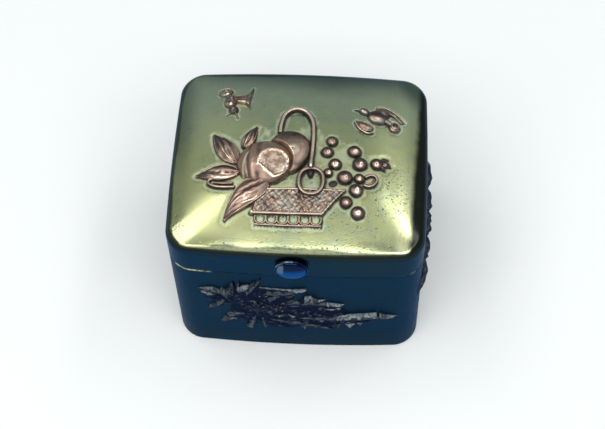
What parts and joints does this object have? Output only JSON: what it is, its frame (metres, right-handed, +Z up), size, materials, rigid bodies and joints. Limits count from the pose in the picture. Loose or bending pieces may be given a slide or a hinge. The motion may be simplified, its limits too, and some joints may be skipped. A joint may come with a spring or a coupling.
{
  "type": "inlaid keepsake box",
  "caption": "Small bowed metal keepsake box with a domed hinged lid, soldered fruit-basket and bird ornaments in copper, and a push-button catch.",
  "frame": {"origin": "centre of the underside, on the surface that the box stands on", "axes": "+Z up, -Y towards the front with the push button, +X to the right seen from the front"},
  "size_m": [0.054, 0.0455, 0.0449],
  "materials": {
    "brass": "aged olive brass, satin, with dark specks and worn bright edges",
    "base_brass": "darkened brass, satin",
    "copper": "cast copper, dark in the recesses and bright on the worn high parts",
    "wall_copper": "cast copper, dark patina",
    "steel": "plain drawn steel",
    "button_steel": "polished steel, slightly blued"
  },
  "bodies": {
    "base": {"base_wall": "base_brass", "base_floor": "base_brass", "locating_rim": "brass", "catch_plate": "brass", "hinge_knuckle_1": "brass", "hinge_knuckle_3": "brass", "hinge_knuckle_5": "brass", "hinge_pin": "steel", "front_blossom": "wall_copper", "front_leaf_1": "wall_copper", "front_leaf_2": "wall_copper", "front_leaf_3": "wall_copper", "front_leaf_4": "wall_copper", "front_leaf_5": "wall_copper", "front_leaf_6": "wall_copper", "front_leaf_7": "wall_copper", "front_leaf_8": "wall_copper", "side_right_blossom": "wall_copper", "side_right_leaf_1": "wall_copper", "side_right_leaf_2": "wall_copper", "side_left_blossom": "wall_copper", "side_left_leaf_1": "wall_copper", "side_left_leaf_2": "wall_copper"},
    "lid": {"lid_shell": "brass", "hinge_knuckle_2": "brass", "hinge_knuckle_4": "brass", "button_bush": "brass", "latch_bracket": "brass", "peach_front": "copper", "peach_rear": "copper", "grape_1": "copper", "grape_2": "copper", "grape_3": "copper", "grape_4": "copper", "grape_5": "copper", "grape_6": "copper", "grape_7": "copper", "grape_8": "copper", "grape_9": "copper", "grape_10": "copper", "grape_11": "copper", "grape_12": "copper", "leaf_back_left": "copper", "leaf_back": "copper", "leaf_left": "copper", "leaf_curl": "copper", "leaf_front": "copper", "vine_leaf": "copper", "basket_body": "copper", "basket_foot": "copper", "basket_handle": "copper", "basket_ring": "copper", "tendril": "copper", "bird_left": "copper", "bird_right": "copper"},
    "button": {"push_button": "button_steel"},
    "latch": {"latch_spring": "steel"}
  },
  "joints": [
    {"name": "lid_hinge", "type": "hinge", "parent": "base", "child": "lid", "pos_m": [0, 0.0205, 0.0304], "axis": [-1, 0, 0], "range_deg": [0, 100]},
    {"name": "button_press", "type": "slide", "parent": "lid", "child": "button", "axis": [0, 1, 0], "range_m": [0, 0.0004], "stiffness_N_per_m": 300},
    {"name": "latch_flex", "type": "hinge", "parent": "lid", "child": "latch", "pos_m": [-0.0004, -0.01827, 0.03734], "axis": [1, 0, 0], "range_deg": [0, 9]}
  ],
  "couplings": [
    {"joint": "latch_flex", "follows": "button_press", "rad_per_m": 370}
  ]
}
